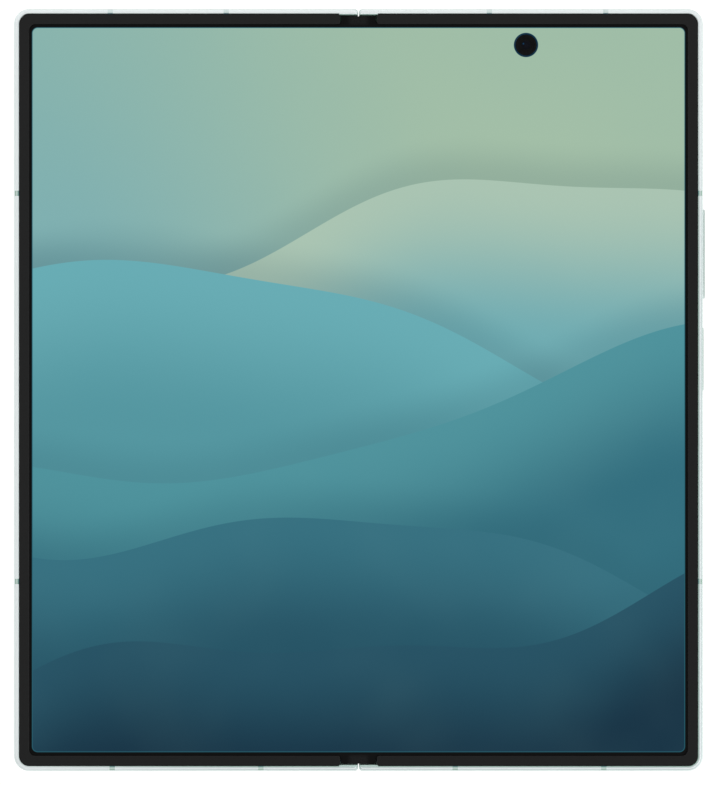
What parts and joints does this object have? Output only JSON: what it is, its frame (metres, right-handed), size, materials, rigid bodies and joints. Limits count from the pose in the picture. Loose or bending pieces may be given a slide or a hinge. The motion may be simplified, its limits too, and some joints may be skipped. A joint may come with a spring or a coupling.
{
  "type": "foldable smartphone",
  "caption": "Book-style foldable phone: two thin halves that turn about a double-axis geared spine, with a bending inner screen, side keys, card tray and rear camera island.",
  "frame": {"origin": "centre of the open phone's bounding box at its lowest plane, the tips of the rear camera rings; the fold line is x = 0", "axes": "+X across the fold towards the half with the keys, +Y along the hinge towards the top edge, +Z out of the inner screen"},
  "size_m": [0.1436, 0.1584, 0.0064],
  "materials": {
    "frame_metal": "satin, pale green-silver anodised",
    "back_glass": "frosted",
    "cover_glass": "polished",
    "bezel": "matte",
    "band": "satin",
    "screen": "lit screen, semi-gloss",
    "plate_steel": "satin",
    "island_metal": "satin",
    "ring_metal": "polished",
    "lens": "polished",
    "module_black": "matte",
    "flash": "diffuse",
    "board": "satin",
    "cell": "satin",
    "copper": "bare",
    "port_steel": "satin",
    "spine_metal": "satin",
    "hinge_steel": "satin",
    "screw_steel": "dark",
    "magnet": "satin",
    "flex": "satin"
  },
  "bodies": {
    "spine": {"hinge_housing": "spine_metal", "hinge_blocks": "hinge_steel", "hinge_end_caps": "spine_metal", "fold_cover_plate": "plate_steel", "display_fold_zone": "screen", "gear_shafts": "hinge_steel", "hinge_flex_cable": "flex"},
    "right_half": {"frame_right": "frame_metal", "rear_glass": "back_glass", "bezel_right": "bezel", "antenna_bands_right": "band", "display_panel_right": "screen", "support_plate_right": "plate_steel", "camera_island": "island_metal", "camera_rings": "ring_metal", "camera_lenses": "lens", "camera_modules": "module_black", "flash_led": "flash", "inner_camera": "module_black", "main_board": "board", "battery_right": "cell", "wireless_coil": "copper", "usb_port": "port_steel", "usb_sub_board": "board", "bottom_speaker": "module_black", "vibration_motor": "port_steel", "key_switches": "flex", "hinge_bracket_right": "hinge_steel", "bracket_screws_right": "screw_steel", "closing_magnets_right": "magnet"},
    "left_half": {"frame_left": "frame_metal", "cover_glass": "cover_glass", "cover_display_panel": "screen", "bezel_left": "bezel", "antenna_bands_left": "band", "display_panel_left": "screen", "support_plate_left": "plate_steel", "battery_left": "cell", "sub_board_left": "board", "top_speaker": "module_black", "cover_camera": "module_black", "sim_reader": "port_steel", "hinge_bracket_left": "hinge_steel", "bracket_screws_left": "screw_steel", "closing_magnets_left": "magnet"},
    "power_key": {"power_key": "frame_metal"},
    "volume_rocker": {"volume_rocker": "frame_metal"},
    "sim_tray": {"sim_tray": "frame_metal"},
    "sync_arm_right": {"sync_arm_right": "hinge_steel"},
    "sync_arm_left": {"sync_arm_left": "hinge_steel"},
    "idler_right": {"idler_gear_right": "hinge_steel"},
    "idler_left": {"idler_gear_left": "hinge_steel"},
    "wing_right": {"wing_plate_right": "plate_steel"},
    "wing_left": {"wing_plate_left": "plate_steel"}
  },
  "joints": [
    {"name": "right_fold", "type": "hinge", "parent": "spine", "child": "right_half", "pos_m": [0.00118, 0, 0.00547], "axis": [0, -1, 0], "range_deg": [0, 90], "deforming": ["display_fold_zone", "hinge_flex_cable"]},
    {"name": "left_fold", "type": "hinge", "parent": "spine", "child": "left_half", "pos_m": [-0.00118, 0, 0.00547], "axis": [0, 1, 0], "range_deg": [0, 90], "deforming": ["display_fold_zone", "hinge_flex_cable"]},
    {"name": "sync_arm_right_turn", "type": "hinge", "parent": "spine", "child": "sync_arm_right", "pos_m": [0.0022, 0, 0.00445], "axis": [0, 1, 0], "range_deg": [-90, 0]},
    {"name": "idler_right_turn", "type": "hinge", "parent": "spine", "child": "idler_right", "pos_m": [0.00073, 0, 0.00445], "axis": [0, 1, 0], "range_deg": [0, 90]},
    {"name": "idler_left_turn", "type": "hinge", "parent": "spine", "child": "idler_left", "pos_m": [-0.00073, 0, 0.00445], "axis": [0, 1, 0], "range_deg": [-90, 0]},
    {"name": "sync_arm_left_turn", "type": "hinge", "parent": "spine", "child": "sync_arm_left", "pos_m": [-0.0022, 0, 0.00445], "axis": [0, 1, 0], "range_deg": [0, 90]},
    {"name": "wing_right_tilt", "type": "hinge", "parent": "right_half", "child": "wing_right", "pos_m": [0.0061, 0, 0.00518], "axis": [0, 1, 0], "range_deg": [-15.01, 0]},
    {"name": "wing_left_tilt", "type": "hinge", "parent": "left_half", "child": "wing_left", "pos_m": [-0.0061, 0, 0.00518], "axis": [0, 1, 0], "range_deg": [0, 15.01]},
    {"name": "power_key_press", "type": "slide", "parent": "right_half", "child": "power_key", "axis": [-1, 0, 0], "range_m": [0, 0.00025], "stiffness_N_per_m": 4000, "springref_m": -0.0002},
    {"name": "volume_rocker_press", "type": "hinge", "parent": "right_half", "child": "volume_rocker", "pos_m": [0.0692, 0.0283, 0.0043], "axis": [0, 0, 1], "range_deg": [-1, 1], "stiffness_Nm_per_rad": 0.7},
    {"name": "sim_tray_slide", "type": "slide", "parent": "left_half", "child": "sim_tray", "axis": [0, -1, 0], "range_m": [0, 0.026]}
  ],
  "couplings": [
    {"joint": "left_fold", "follows": "right_fold", "ratio": 1},
    {"joint": "sync_arm_right_turn", "follows": "right_fold", "ratio": -1},
    {"joint": "idler_right_turn", "follows": "right_fold", "ratio": 1},
    {"joint": "idler_left_turn", "follows": "right_fold", "ratio": -1},
    {"joint": "sync_arm_left_turn", "follows": "right_fold", "ratio": 1},
    {"joint": "wing_right_tilt", "follows": "right_fold", "ratio": -0.16667},
    {"joint": "wing_left_tilt", "follows": "right_fold", "ratio": 0.16667}
  ]
}
